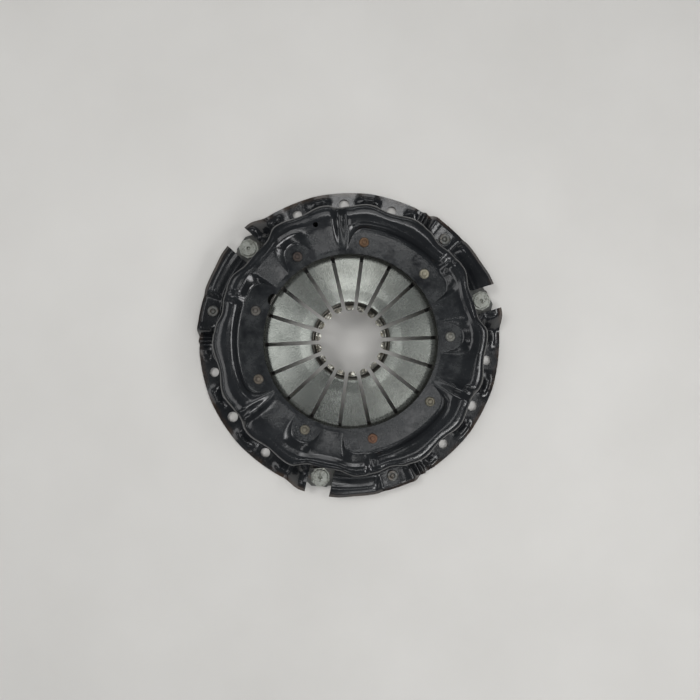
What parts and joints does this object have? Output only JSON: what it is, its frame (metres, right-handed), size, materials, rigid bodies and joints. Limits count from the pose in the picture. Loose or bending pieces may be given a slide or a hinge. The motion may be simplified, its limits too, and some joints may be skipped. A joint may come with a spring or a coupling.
{
  "type": "clutch pressure plate",
  "caption": "Round clutch cover assembly in black pressed steel with a fingered diaphragm spring, riveted pivot rings, strap-hung cast iron plate and a scalloped bolting flange.",
  "frame": {"origin": "on the clutch axis, in the face of the cover that bolts to the flywheel", "axes": "+Z along the clutch axis, away from the flywheel and towards the gearbox; +Y through the middle bolt hole of one of the three groups"},
  "size_m": [0.2891, 0.2889, 0.0497],
  "materials": {
    "black_paint": "gloss",
    "spring_steel": "satin",
    "wire": "satin",
    "zinc": "satin",
    "iron": "rough"
  },
  "bodies": {
    "cover": {"cover": "black_paint", "upper_pivot_ring": "wire", "lower_pivot_ring": "wire", "diaphragm_rivets": "zinc", "strap_rivet_1": "zinc", "strap_rivet_2": "zinc", "strap_rivet_3": "zinc", "strap_1_leaf_1": "spring_steel", "strap_1_leaf_2": "spring_steel", "strap_1_leaf_3": "spring_steel", "strap_2_leaf_1": "spring_steel", "strap_2_leaf_2": "spring_steel", "strap_2_leaf_3": "spring_steel", "strap_3_leaf_1": "spring_steel", "strap_3_leaf_2": "spring_steel", "strap_3_leaf_3": "spring_steel"},
    "plate": {"pressure_plate": "iron", "lug_washer_1": "zinc", "lug_washer_2": "zinc", "lug_washer_3": "zinc", "lug_rivet_1": "zinc", "lug_rivet_2": "zinc", "lug_rivet_3": "zinc"},
    "diaphragm": {"diaphragm_spring": "spring_steel"}
  },
  "joints": [
    {"name": "plate_slide", "type": "slide", "parent": "cover", "child": "plate", "axis": [0, 0, 1], "range_m": [0, 0.0055], "stiffness_N_per_m": 3000, "springref_m": -0.01, "deforming": ["strap_1_leaf_1", "strap_1_leaf_2", "strap_1_leaf_3", "strap_2_leaf_1", "strap_2_leaf_2", "strap_2_leaf_3", "strap_3_leaf_1", "strap_3_leaf_2", "strap_3_leaf_3"]},
    {"name": "finger_travel", "type": "slide", "parent": "cover", "child": "diaphragm", "axis": [0, 0, 1], "range_m": [-0.011, 0], "deforming": ["diaphragm_spring"]}
  ],
  "couplings": [
    {"joint": "finger_travel", "follows": "plate_slide", "ratio": -2}
  ]
}
